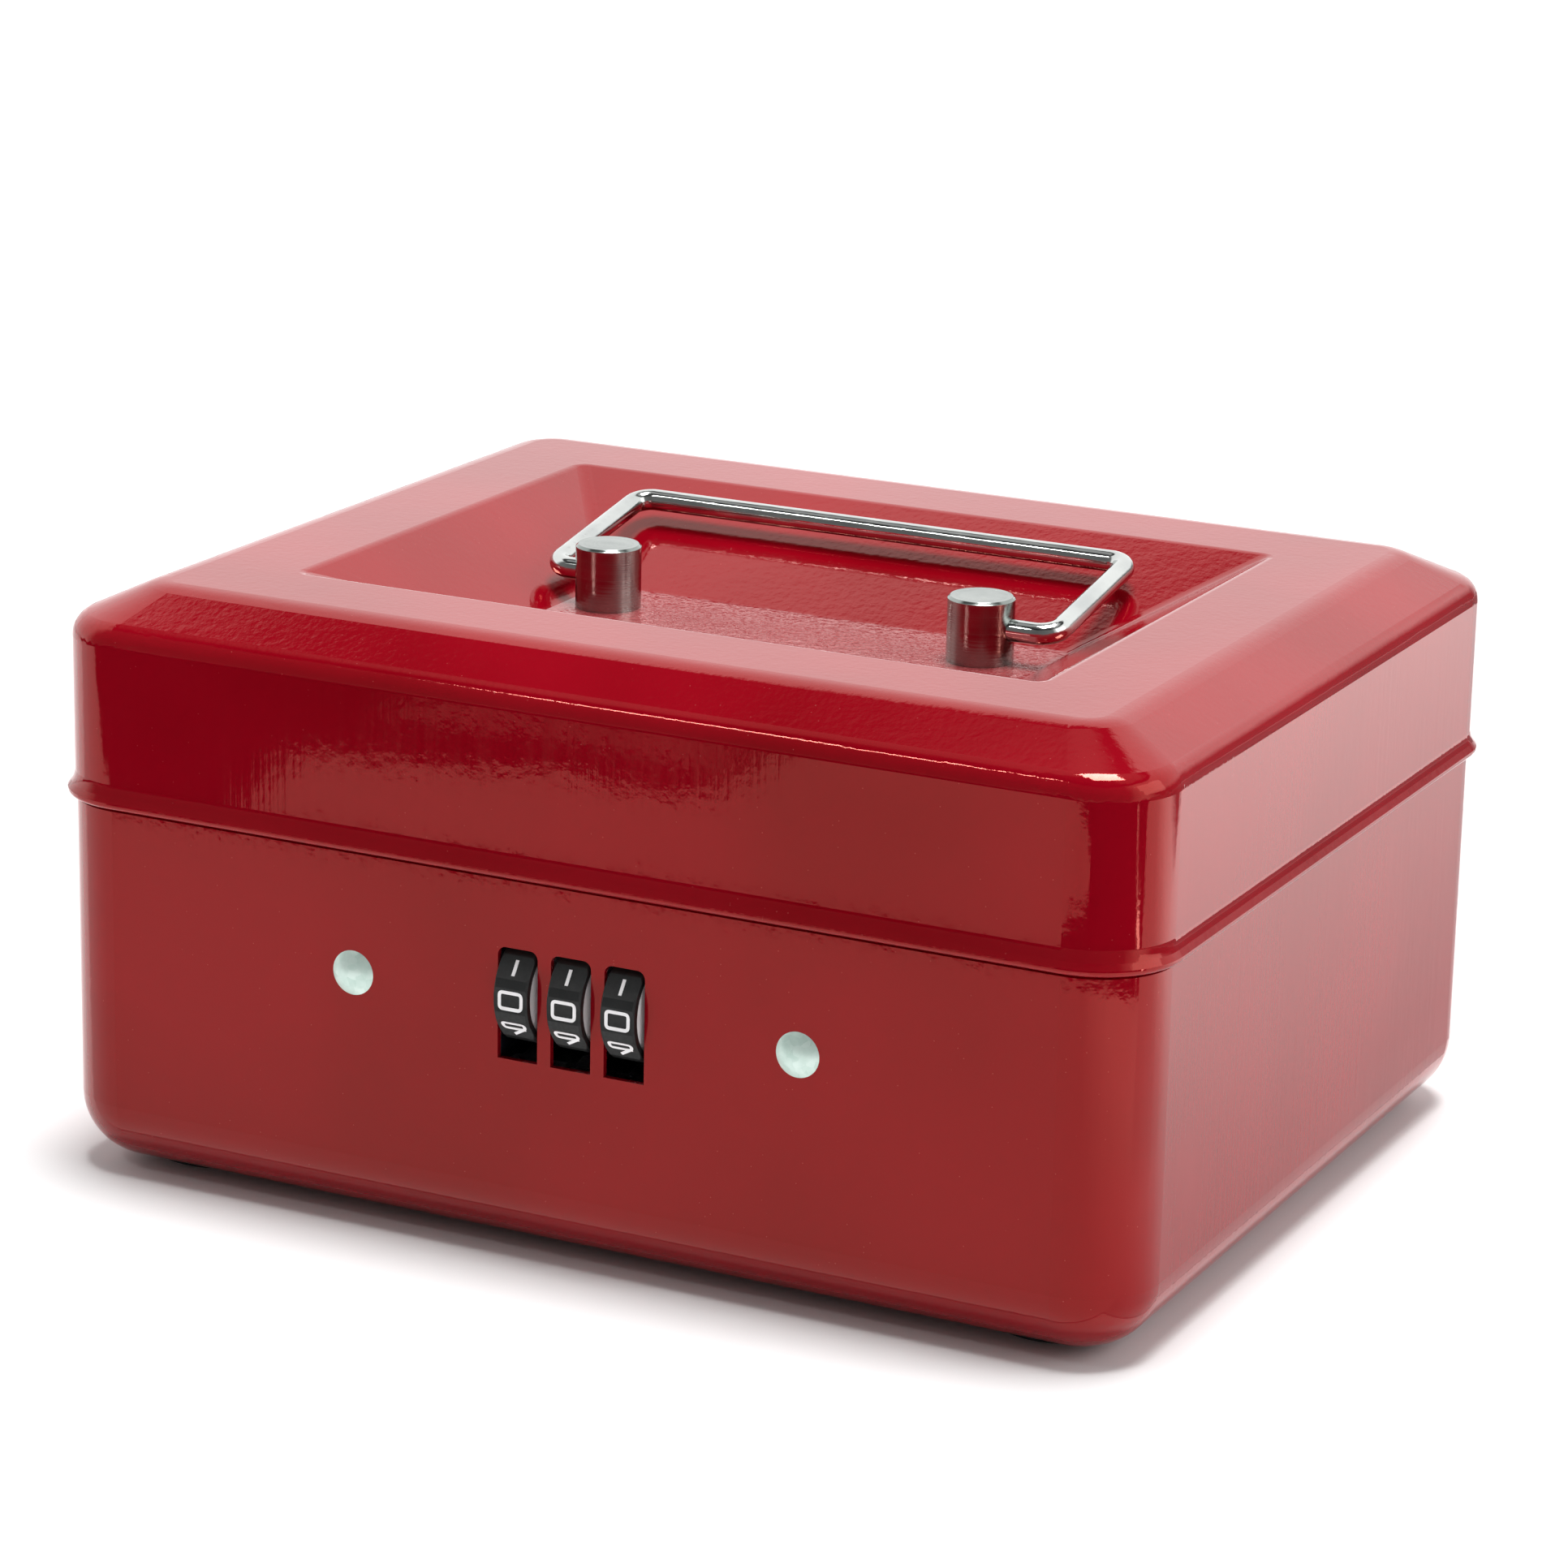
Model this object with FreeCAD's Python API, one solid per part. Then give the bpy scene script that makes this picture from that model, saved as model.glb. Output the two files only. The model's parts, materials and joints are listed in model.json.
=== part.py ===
"""Small steel cash box with a three-dial combination lock.

A deep-drawn steel tub carries a drawn lid on two back hinges. The lid has a
sunken panel with two turned posts and a swinging wire bail. A plastic lock
case is riveted behind the front wall and holds three coded dials, whose gates
let the teeth of a sliding bolt pass. A moulded coin tray hangs in the tub.

Units are millimetres. +Z is up and -Y is the front. The origin is the middle
of the object's overall footprint, at the plane that the feet stand on. Shapes
are drawn about the middle of the tub, and shifted back a little when written.
"""
import FreeCAD, Part
import math
import os

from FreeCAD import Vector

# ---------------------------------------------------------------- driving sizes
SHEET = 0.8                     # steel sheet of the tub and the lid
LID_HALF_X = 76.0               # outer skirt of the lid
LID_HALF_Y = 61.0
LID_CORNER = 10.2
HEM_Z = 50.0                    # lower edge of the lid
BEVEL_Z = 73.0                  # where the bevel leaves the skirt
RIM_Z = 77.6                    # flat rim round the sunken panel
BEVEL_INSET = 9.5
RIM_CORNER = 5.0
SKIRT_FILLET = 3.2              # where the bevel meets the skirt
RIM_FILLET = 7.0                # where the bevel meets the rim
PANEL_FILLET = 2.2              # where the rim turns down into the panel
HEM_OUT = 0.95                  # how far the hem bead stands out
HEM_FILLET = 0.7
HEM_FLARE = 2.6                 # radius in which the skirt curves out to the bead
HEM_BEAD_Z = HEM_Z + 0.9
HEM_TOP_Z = HEM_Z + 2.3

PANEL_RIM_X = 52.3              # sunken panel, at the rim
PANEL_RIM_Y = 37.65
PANEL_FLOOR_X = 34.7            # sunken panel, at its floor
PANEL_FLOOR_Y = 12.0
PANEL_DEPTH = 9.9
PANEL_FLOOR_Z = RIM_Z - PANEL_DEPTH

FOOT_H = 0.8
FOOT_R = 9.5
FOOT_X = 60.4
FOOT_Y = 43.3

TUB_INSET = 0.25                # tub wall inside the lid's outer face
TUB_HALF_X = LID_HALF_X - TUB_INSET
TUB_HALF_Y = LID_HALF_Y - TUB_INSET
TUB_CORNER = LID_CORNER - TUB_INSET
TUB_BOTTOM_FILLET = 8.9
SHOULDER_Z = HEM_Z - 0.5        # start of the step into the neck
STEP_H = 0.6
STEP_IN = 1.4
NECK_TOP_Z = 59.0

WIRE_R = 1.45                   # bail
BAIL_HALF_X = 36.6
BAIL_MID_X = -0.4               # the bail has slid along its posts by its side play
BAIL_ARM = 25.0
BAIL_BEND = 2.6
BAIL_REST_DEG = 10.2
POST_R = 4.4
POST_H = 8.6
POST_X = 27.3                   # from the middle of the pair of posts
POST_MID_X = -1.3
POST_Y = 2.35
PIVOT_Z = PANEL_FLOOR_Z + 4.5
WIRE_END_X = POST_X - 1.5
SCREW_R = 1.45                  # screws up into the posts
SCREW_DEPTH = 2.6
SCREW_HEAD_R = 2.7
SCREW_HEAD_H = 1.8
WASHER_R = 3.3
WASHER_T = 0.5
RUNNING_FIT = 0.05

HINGE_X = 45.0                  # back hinges
HINGE_W = 24.0
HINGE_LEAF = 1.0
KNUCKLE_R = 1.9
KNUCKLE_GAP = 0.3
LID_KNUCKLE_W = 7.8
PIN_R = 1.0
HINGE_Y = LID_HALF_Y + 3.3
HINGE_Z = HEM_Z + 0.6

LOCK_X = 1.0                    # middle dial
DIAL_PITCH = 7.45
DIAL_R = 6.9                    # over the ridges between the facets
DIAL_SCOOP = 0.28               # depth of a facet
SCOOP_R = 12.0
DIAL_W = 4.7
DIAL_FACETS = 10
DIAL_PROUD = 1.8                # facets stand out of the front wall
DIAL_Z = 34.7
DIAL_Y = -TUB_HALF_Y - DIAL_PROUD + DIAL_R - DIAL_SCOOP
HUB_R = 5.9
GATE_R = 3.8                    # gate disc, small enough to clear the front wall
GATE_DEPTH = 1.5
AXLE_R = 1.5
SLOT_W = 5.6
SLOT_BOTTOM_Z = 26.4
SLOT_TOP_Z = 40.9
SLOT_CORNER = 1.1
RIVET_Z = 33.95
RIVET_SPREAD = 31.05
RIVET_HEAD_R = 2.9
RIVET_R = 1.5

BOLT_TRAVEL = 1.6
TOOTH_W = 0.6
DISC_W = 0.6
LEVER_TRAVEL = 2.5
TRAY_LIFT = 3.0

BACK_REACH = HINGE_Y + KNUCKLE_R
SCOOP_CENTRE = DIAL_R - DIAL_SCOOP + SCOOP_R
RIDGE_REACH = (SCOOP_CENTRE ** 2 + DIAL_R ** 2 - SCOOP_R ** 2) / (2 * SCOOP_CENTRE)
FRONT_REACH = max(RIDGE_REACH - DIAL_Y, LID_HALF_Y + HEM_OUT)
ORIGIN_Y = (BACK_REACH - FRONT_REACH) / 2

X_AXIS = Vector(1, 0, 0)
Y_AXIS = Vector(0, 1, 0)
Z_AXIS = Vector(0, 0, 1)


# ---------------------------------------------------------------- shape helpers
def block(x0, x1, y0, y1, z0, z1):
    """A box between two corners."""
    return Part.makeBox(x1 - x0, y1 - y0, z1 - z0, Vector(x0, y0, z0))


def rod(axis, centre, radius, length):
    """A cylinder centred on a point."""
    start = centre - axis * (length / 2)
    return Part.makeCylinder(radius, length, start, axis)


def rounded_wire(half_x, half_y, corner, z, centre_y=0.0):
    """A rectangle with round corners, in a level plane."""
    diagonal = corner * (1 - math.sqrt(0.5))
    edges = []
    for sx, sy in ((1, -1), (1, 1), (-1, 1), (-1, -1)):
        on_x_side = Vector(sx * half_x, centre_y + sy * (half_y - corner), z)
        on_y_side = Vector(sx * (half_x - corner), centre_y + sy * half_y, z)
        middle = Vector(sx * (half_x - diagonal), centre_y + sy * (half_y - diagonal), z)
        ends = (on_y_side, on_x_side) if sx * sy < 0 else (on_x_side, on_y_side)
        if edges:
            edges.append(Part.LineSegment(edges[-1].EndPoint, ends[0]))
        edges.append(Part.Arc(ends[0], middle, ends[1]))
    edges.append(Part.LineSegment(edges[-1].EndPoint, edges[0].StartPoint))
    return Part.Wire([edge.toShape() for edge in edges])


def rounded_slab(half_x, half_y, corner, z0, z1, centre_y=0.0):
    """An upright prism with round corners."""
    face = Part.Face(rounded_wire(half_x, half_y, corner, z0, centre_y))
    return face.extrude(Vector(0, 0, z1 - z0))


def taper(lower, upper):
    """A solid between two rounded rectangles, each (half_x, half_y, corner, z)."""
    return Part.makeLoft([rounded_wire(*lower), rounded_wire(*upper)], True, True)


def plate_yz(points, x0, x1):
    """A (y, z) outline drawn out along X."""
    corners = [Vector(x0, y, z) for y, z in points]
    face = Part.Face(Part.makePolygon(corners + corners[:1]))
    return face.extrude(Vector(x1 - x0, 0, 0))


def level_edges(shape, z, reach=0.01):
    """The edges of a shape that lie in one level plane."""
    return [edge for edge in shape.Edges
            if abs(edge.BoundBox.ZMin - z) < reach and abs(edge.BoundBox.ZMax - z) < reach]


def mirrored_x(shape):
    return shape.mirror(Vector(0, 0, 0), X_AXIS)


# ---------------------------------------------------------------- tub and feet
def tub_body(inset, floor_z, top_z):
    """Outside of the tub, or its inside when inset by the sheet."""
    half_x = TUB_HALF_X - inset
    half_y = TUB_HALF_Y - inset
    corner = TUB_CORNER - inset
    shoulder = SHOULDER_Z - inset * 0.4
    lower = rounded_slab(half_x, half_y, corner, floor_z, shoulder)
    lower = lower.makeFillet(TUB_BOTTOM_FILLET - inset, level_edges(lower, floor_z))
    neck_size = (half_x - STEP_IN, half_y - STEP_IN, corner - STEP_IN)
    step = taper((half_x, half_y, corner, shoulder), neck_size + (shoulder + STEP_H,))
    neck = rounded_slab(*neck_size, shoulder + STEP_H, top_z)
    return lower.fuse([step, neck]).removeSplitter()


def dial_slot(x):
    """Cutter for one slot: round at the top, square at the bottom."""
    front = -TUB_HALF_Y - 1
    slot = block(x - SLOT_W / 2, x + SLOT_W / 2, front, front + 3, SLOT_BOTTOM_Z, SLOT_TOP_Z)
    top_corners = [edge for edge in slot.Edges
                   if edge.BoundBox.YLength > 1 and edge.BoundBox.ZMin > SLOT_TOP_Z - 0.1]
    return slot.makeFillet(SLOT_CORNER, top_corners)


def dial_places():
    return [LOCK_X + (index - 1) * DIAL_PITCH for index in range(3)]


def rivet_places():
    return {"left": LOCK_X - RIVET_SPREAD, "right": LOCK_X + RIVET_SPREAD}


def make_base_shell():
    outside = tub_body(0.0, FOOT_H, NECK_TOP_Z)
    inside = tub_body(SHEET, FOOT_H + SHEET, NECK_TOP_Z + 1)
    cutters = [inside]
    cutters += [dial_slot(x) for x in dial_places()]
    for x in rivet_places().values():
        cutters.append(rod(Y_AXIS, Vector(x, -TUB_HALF_Y, RIVET_Z), RIVET_R + RUNNING_FIT, 4))
    return outside.cut(cutters)


def make_foot(side_x, side_y):
    foot = Part.makeCylinder(FOOT_R, FOOT_H, Vector(side_x * FOOT_X, side_y * FOOT_Y, 0))
    return foot.makeChamfer(0.2, level_edges(foot, 0.0))


# ---------------------------------------------------------------- lid
def sunken_panel(offset):
    """Inverted pyramid of the sunken panel, grown outwards by the sheet."""
    slope_x = (PANEL_RIM_X - PANEL_FLOOR_X) / PANEL_DEPTH
    slope_y = (PANEL_RIM_Y - PANEL_FLOOR_Y) / PANEL_DEPTH
    grow_x = offset * math.hypot(1, slope_x)
    grow_y = offset * math.hypot(1, slope_y)
    floor_z = PANEL_FLOOR_Z - offset
    top_z = RIM_Z + 1

    def outline(z):
        rise = z - PANEL_FLOOR_Z
        half_x = PANEL_FLOOR_X + rise * slope_x + grow_x
        half_y = PANEL_FLOOR_Y + rise * slope_y + grow_y
        return half_x, half_y, 1.5 + offset, z

    return taper(outline(floor_z), outline(top_z))


def make_lid_shell():
    skirt_size = (LID_HALF_X, LID_HALF_Y, LID_CORNER)
    bead_size = tuple(size + HEM_OUT for size in skirt_size)
    rim_size = (LID_HALF_X - BEVEL_INSET, LID_HALF_Y - BEVEL_INSET, RIM_CORNER)
    outside = rounded_slab(*skirt_size, HEM_TOP_Z, BEVEL_Z)
    outside = outside.fuse(taper(skirt_size + (BEVEL_Z,), rim_size + (RIM_Z,))).removeSplitter()
    outside = outside.makeFillet(SKIRT_FILLET, level_edges(outside, BEVEL_Z))
    outside = outside.makeFillet(RIM_FILLET, level_edges(outside, RIM_Z))
    outside = outside.cut(sunken_panel(0.0))
    panel_rim = [edge for edge in level_edges(outside, RIM_Z)
                 if edge.BoundBox.XMax < PANEL_RIM_X + 1 and edge.BoundBox.XMin > -PANEL_RIM_X - 1]
    outside = outside.makeFillet(PANEL_FILLET, panel_rim)
    bead = taper(bead_size + (HEM_BEAD_Z,), skirt_size + (HEM_TOP_Z,))
    hem = rounded_slab(*bead_size, HEM_Z, HEM_BEAD_Z)
    hem = hem.makeFillet(HEM_FILLET, level_edges(hem, HEM_Z))
    outside = outside.fuse([bead, hem]).removeSplitter()
    outside = outside.makeFillet(HEM_FLARE, level_edges(outside, HEM_TOP_Z))

    slope = (RIM_Z - BEVEL_Z) / BEVEL_INSET
    drop = SHEET * math.hypot(1, slope)
    inner_top = RIM_Z - SHEET
    inner_rim = LID_HALF_X - (inner_top - BEVEL_Z + drop) / slope
    rim_shift = LID_HALF_X - inner_rim
    inner_skirt = (LID_HALF_X - SHEET, LID_HALF_Y - SHEET, LID_CORNER - SHEET)
    inner_bevel_z = BEVEL_Z + SHEET * slope - drop
    inner_rim_size = (inner_rim, LID_HALF_Y - rim_shift, RIM_CORNER)
    inside = rounded_slab(*inner_skirt, HEM_Z - 1, inner_bevel_z)
    inside = inside.fuse(taper(inner_skirt + (inner_bevel_z,), inner_rim_size + (inner_top,)))
    inside = inside.cut(sunken_panel(SHEET))
    lid = outside.cut(inside)
    for side in (-1, 1):
        hole_centre = Vector(POST_MID_X + side * POST_X, POST_Y, PANEL_FLOOR_Z)
        lid = lid.cut(rod(Z_AXIS, hole_centre, SCREW_R + 0.15, 6))
    return lid


# ---------------------------------------------------------------- lid handle
def make_post():
    """Turned post on the right, with a level bore from its outer side."""
    post = Part.makeCylinder(POST_R, POST_H, Vector(POST_X, POST_Y, PANEL_FLOOR_Z))
    post = post.makeChamfer(0.35, level_edges(post, PANEL_FLOOR_Z + POST_H))
    bore_start = Vector(WIRE_END_X - 0.5, POST_Y, PIVOT_Z)
    bore = Part.makeCylinder(WIRE_R + RUNNING_FIT, 10, bore_start, X_AXIS)
    tapped = Part.makeCylinder(SCREW_R, SCREW_DEPTH, Vector(POST_X, POST_Y, PANEL_FLOOR_Z))
    return post.cut([bore, tapped])


def make_handle_screw():
    """Pan-head screw that holds the right post from under the lid."""
    head_top = PANEL_FLOOR_Z - SHEET - WASHER_T
    head_z = head_top - SCREW_HEAD_H
    head = Part.makeCylinder(SCREW_HEAD_R, SCREW_HEAD_H, Vector(POST_X, POST_Y, head_z))
    head = head.makeFillet(0.8, level_edges(head, head_z))
    shank_h = PANEL_FLOOR_Z + SCREW_DEPTH - head_top
    shank = Part.makeCylinder(SCREW_R, shank_h, Vector(POST_X, POST_Y, head_top))
    recess = Vector(POST_X, POST_Y, head_z)
    cross = [block(-1.5, 1.5, -0.3, 0.3, 0, 1), block(-0.3, 0.3, -1.5, 1.5, 0, 1)]
    return head.fuse(shank).removeSplitter().cut([bar.translated(recess) for bar in cross])


def make_handle_washer():
    washer_z = PANEL_FLOOR_Z - SHEET - WASHER_T
    washer = Part.makeCylinder(WASHER_R, WASHER_T, Vector(POST_X, POST_Y, washer_z))
    return washer.cut(rod(Z_AXIS, Vector(POST_X, POST_Y, washer_z), SCREW_R + RUNNING_FIT, 3))


def make_bail():
    """Wire bail: two inturned ends, two arms and a crossbar."""
    centre = Vector(0, POST_Y, PIVOT_Z)
    left_arm = BAIL_MID_X - BAIL_HALF_X
    right_arm = BAIL_MID_X + BAIL_HALF_X
    corners = [(POST_MID_X - WIRE_END_X, 0), (left_arm, 0), (left_arm, BAIL_ARM),
               (right_arm, BAIL_ARM), (right_arm, 0), (POST_MID_X + WIRE_END_X, 0)]
    points = [centre + Vector(x, y, 0) for x, y in corners]
    edges = []
    start = points[0]
    for before, corner, after in zip(points, points[1:], points[2:]):
        back = (before - corner).normalize()
        onward = (after - corner).normalize()
        bend_in = corner + back * BAIL_BEND
        bend_out = corner + onward * BAIL_BEND
        middle = corner + (back + onward) * (BAIL_BEND * (1 - math.sqrt(0.5)))
        edges.append(Part.LineSegment(start, bend_in).toShape())
        edges.append(Part.Arc(bend_in, middle, bend_out).toShape())
        start = bend_out
    edges.append(Part.LineSegment(start, points[-1]).toShape())
    path = Part.Wire(edges)
    section = Part.Wire(Part.makeCircle(WIRE_R, points[0], X_AXIS))
    bail = path.makePipeShell([section], True, False)
    bail.rotate(centre, X_AXIS, BAIL_REST_DEG)
    return bail


# ---------------------------------------------------------------- hinges
def strip_to_knuckle(anchor_y, face_y, along, foot_z):
    """Leaf outline from a wall to the outer side of the knuckle.

    along is the direction in which the strip runs towards the knuckle, and
    foot_z is the far end of the plate that is welded to the wall.
    """
    length = math.hypot(*along)
    run_y = along[0] / length
    run_z = along[1] / length
    side = 1 if run_z < 0 else -1
    normal_y = -side * run_z
    normal_z = side * run_y
    inner_r = KNUCKLE_R - HINGE_LEAF
    outer = (HINGE_Y + KNUCKLE_R * normal_y, HINGE_Z + KNUCKLE_R * normal_z)
    inner = (HINGE_Y + inner_r * normal_y, HINGE_Z + inner_r * normal_z)
    outer_foot = outer[1] - (outer[0] - face_y) * run_z / run_y
    inner_foot = inner[1] - (inner[0] - anchor_y) * run_z / run_y
    strip = [(face_y, outer_foot), outer, inner, (anchor_y, inner_foot)]
    plate = [(anchor_y, foot_z), (face_y, foot_z), (face_y, outer_foot), (anchor_y, inner_foot)]
    return strip, plate


def knuckled_leaf(strip, plate, spans):
    """A leaf whose strips and knuckles cover the given stretches along X."""
    leaf = plate_yz(plate, HINGE_X - HINGE_W / 2, HINGE_X + HINGE_W / 2)
    for x0, x1 in spans:
        knuckle = rod(X_AXIS, Vector((x0 + x1) / 2, HINGE_Y, HINGE_Z), KNUCKLE_R, x1 - x0)
        leaf = leaf.fuse([plate_yz(strip, x0, x1), knuckle])
    return leaf.removeSplitter()


def make_hinge_leaf_base():
    strip, plate = strip_to_knuckle(TUB_HALF_Y, TUB_HALF_Y + HINGE_LEAF, (0.574, 0.819), 30.0)
    reach = LID_KNUCKLE_W / 2 + KNUCKLE_GAP
    spans = [(HINGE_X - HINGE_W / 2, HINGE_X - reach), (HINGE_X + reach, HINGE_X + HINGE_W / 2)]
    leaf = knuckled_leaf(strip, plate, spans)
    return leaf.cut(rod(X_AXIS, Vector(HINGE_X, HINGE_Y, HINGE_Z), PIN_R, HINGE_W + 4))


def make_hinge_leaf_lid():
    strip, plate = strip_to_knuckle(LID_HALF_Y, LID_HALF_Y + HINGE_LEAF, (0.6, -0.8), 66.0)
    spans = [(HINGE_X - LID_KNUCKLE_W / 2, HINGE_X + LID_KNUCKLE_W / 2)]
    leaf = knuckled_leaf(strip, plate, spans)
    bore_r = PIN_R + RUNNING_FIT
    return leaf.cut(rod(X_AXIS, Vector(HINGE_X, HINGE_Y, HINGE_Z), bore_r, HINGE_W + 4))


def make_hinge_pin():
    centre = Vector(HINGE_X, HINGE_Y, HINGE_Z)
    head = 0.6
    pin = rod(X_AXIS, centre, PIN_R, HINGE_W)
    for side in (-1, 1):
        head_centre = centre + X_AXIS * (side * (HINGE_W + head) / 2)
        pin = pin.fuse(rod(X_AXIS, head_centre, PIN_R + 0.5, head))
    return pin.removeSplitter()


# ---------------------------------------------------------------- lock: shared places
INNER_WALL_Y = -TUB_HALF_Y + SHEET
CASE_BACK_Y = -45.0
CASE_LEFT = LOCK_X - 11.8
CASE_RIGHT = LOCK_X + 14.6
CASE_WALL = 1.6
CASE_BOTTOM_Z = 24.3
CASE_TOP_Z = 48.1
CAVITY_BOTTOM_Z = CASE_BOTTOM_Z + 1.2
CAVITY_TOP_Z = CASE_TOP_Z - 1.2
EAR_T = 2.0
PLATE_T = 1.2
BAR_FRONT_Y = -47.4
BAR_BACK_Y = -45.6
TOOTH_OFFSET = DIAL_W / 2 + 0.25
DISC_OFFSET = TOOTH_OFFSET + TOOTH_W + 0.2
TONGUE_T = 1.2
TONGUE_FRONT_Y = -57.6
TONGUE_BACK_Y = -49.4
TONGUE_BOTTOM_Z = 42.6
WINDOW_FRONT_Y = -55.3
WINDOW_BACK_Y = -51.1
FLANGE_HALF_W = 8.0
FLANGE_BOTTOM_Z = 61.0
FLANGE_TOP_Z = 71.0
NOSE_FRONT_Y = -54.6
NOSE_BACK_Y = -51.8
NOSE_BOTTOM_Z = 44.2
NOSE_TOP_Z = 46.4
NOSE_REST_GAP = 0.25
BAR_LEFT = LOCK_X - 9.2
BAR_RIGHT = LOCK_X + 11.0
BAR_HALF_H = 1.5
TOOTH_HALF_H = 0.55
TOOTH_REACH = 0.35              # how far a tooth dips into an open gate
GATE_HALF_H = 0.8
SLEEVE_R = 2.3
ARM_LEFT = LOCK_X - 6.2
ARM_RIGHT = LOCK_X - 3.4
SPRING_Y = -46.9
SPRING_Z = 30.0
SPRING_LEFT = LOCK_X - 8.2
SPRING_RIGHT = LOCK_X + 0.5
SPRING_LUG_BOTTOM_Z = 28.8
BOSS_FRONT_Y = -51.0
BOSS_R = 1.5
RIB_FRONT_Y = -48.0
LEVER_LEFT = LOCK_X + 4.0
LEVER_W = 5.0
LEVER_FRONT_Y = -46.5
LEVER_BOTTOM_Z = 27.4
LEVER_TOP_Z = 31.6
NUB_LEFT = LEVER_LEFT + 1.6
NUB_W = 2.0
NUB_BOTTOM_Z = 28.6
NUB_TOP_Z = 30.4
NUB_OUT = 3.0
CASE_SCREW_R = 0.8
CASE_SCREW_HEAD_R = 1.4
CASE_SCREW_DEPTH = 3.5
EAR_HALF_H = 5.0
DOME_H = 1.0
RIVET_TAIL_R = 2.3
RIVET_TAIL_H = 0.8
LEAF_T = 0.25                   # detent leaf
LEAF_FRONT_Y = -58.8
LEAF_ROOT_Y = -56.5
LEAF_TIP_Y = -50.5
LEAF_RISE = 1.7
LEAF_HALF_W = 1.5
SCREW_PLACES = [(x, z) for z in (CASE_BOTTOM_Z + CASE_WALL, CASE_TOP_Z - CASE_WALL)
                for x in (CASE_LEFT + CASE_WALL, CASE_RIGHT - CASE_WALL)]


# ---------------------------------------------------------------- lock: case and fixings
def make_lock_case():
    case = block(CASE_LEFT, CASE_RIGHT, INNER_WALL_Y, CASE_BACK_Y, CASE_BOTTOM_Z, CASE_TOP_Z)
    cavity = block(CASE_LEFT + CASE_WALL, CASE_RIGHT - CASE_WALL, INNER_WALL_Y - 1, CASE_BACK_Y + 1,
                   CAVITY_BOTTOM_Z, CAVITY_TOP_Z)
    case = case.cut(cavity)
    ear_back = INNER_WALL_Y + EAR_T
    for x in rivet_places().values():
        case_side = CASE_LEFT + 1 if x < LOCK_X else CASE_RIGHT - 1
        ear_ends = sorted((x, case_side))
        ear = block(*ear_ends, INNER_WALL_Y, ear_back, RIVET_Z - EAR_HALF_H, RIVET_Z + EAR_HALF_H)
        tip = rod(Y_AXIS, Vector(x, (INNER_WALL_Y + ear_back) / 2, RIVET_Z), EAR_HALF_H, EAR_T)
        case = case.fuse([ear, tip])
    rib_top = SPRING_Z + 1.4
    rib = block(SPRING_RIGHT, SPRING_RIGHT + 1, RIB_FRONT_Y, CASE_BACK_Y, CAVITY_BOTTOM_Z - 0.5, rib_top)
    bosses = []
    holes = [rod(X_AXIS, Vector(LOCK_X, DIAL_Y, DIAL_Z), AXLE_R, 60)]
    for x, z in SCREW_PLACES:
        boss_start = Vector(x, BOSS_FRONT_Y, z)
        bosses.append(Part.makeCylinder(BOSS_R, CASE_BACK_Y - BOSS_FRONT_Y, boss_start, Y_AXIS))
        holes.append(rod(Y_AXIS, Vector(x, CASE_BACK_Y, z), CASE_SCREW_R, 8))
    for x in rivet_places().values():
        holes.append(rod(Y_AXIS, Vector(x, ear_back, RIVET_Z), RIVET_R + RUNNING_FIT, 8))
    case = case.fuse([rib] + bosses).cut(cavity_keep_clear())
    tongue_slot = block(LOCK_X - 0.5, LOCK_X + TONGUE_T + 0.5, TONGUE_FRONT_Y - 0.6, TONGUE_BACK_Y + 0.8,
                        CAVITY_TOP_Z - 1, CASE_TOP_Z + 1)
    return case.cut(holes + [tongue_slot]).removeSplitter()


def cavity_keep_clear():
    """Round space for the dials, cut through the screw bosses if they reach it."""
    width = 2 * DIAL_PITCH + DIAL_W + 0.6
    return rod(X_AXIS, Vector(LOCK_X, DIAL_Y, DIAL_Z), DIAL_R + 0.3, width)


def make_lock_back_plate():
    plate = block(CASE_LEFT, CASE_RIGHT, CASE_BACK_Y, CASE_BACK_Y + PLATE_T, CASE_BOTTOM_Z, CASE_TOP_Z)
    slot = block(NUB_LEFT - 0.3, NUB_LEFT + NUB_W + LEVER_TRAVEL + 0.3, CASE_BACK_Y - 1, CASE_BACK_Y + 3,
                 NUB_BOTTOM_Z - 0.3, NUB_TOP_Z + 0.3)
    holes = [rod(Y_AXIS, Vector(x, CASE_BACK_Y, z), CASE_SCREW_R, 6) for x, z in SCREW_PLACES]
    return plate.cut([slot] + holes)


def make_lock_screws():
    """Four small screws through the back plate, as one group of solids."""
    screws = []
    for x, z in SCREW_PLACES:
        shank_start = Vector(x, CASE_BACK_Y - CASE_SCREW_DEPTH, z)
        shank = Part.makeCylinder(CASE_SCREW_R, PLATE_T + CASE_SCREW_DEPTH, shank_start, Y_AXIS)
        head = Part.makeCylinder(CASE_SCREW_HEAD_R, 0.8, Vector(x, CASE_BACK_Y + PLATE_T, z), Y_AXIS)
        screws.append(shank.fuse(head).removeSplitter())
    return Part.makeCompound(screws)


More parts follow.
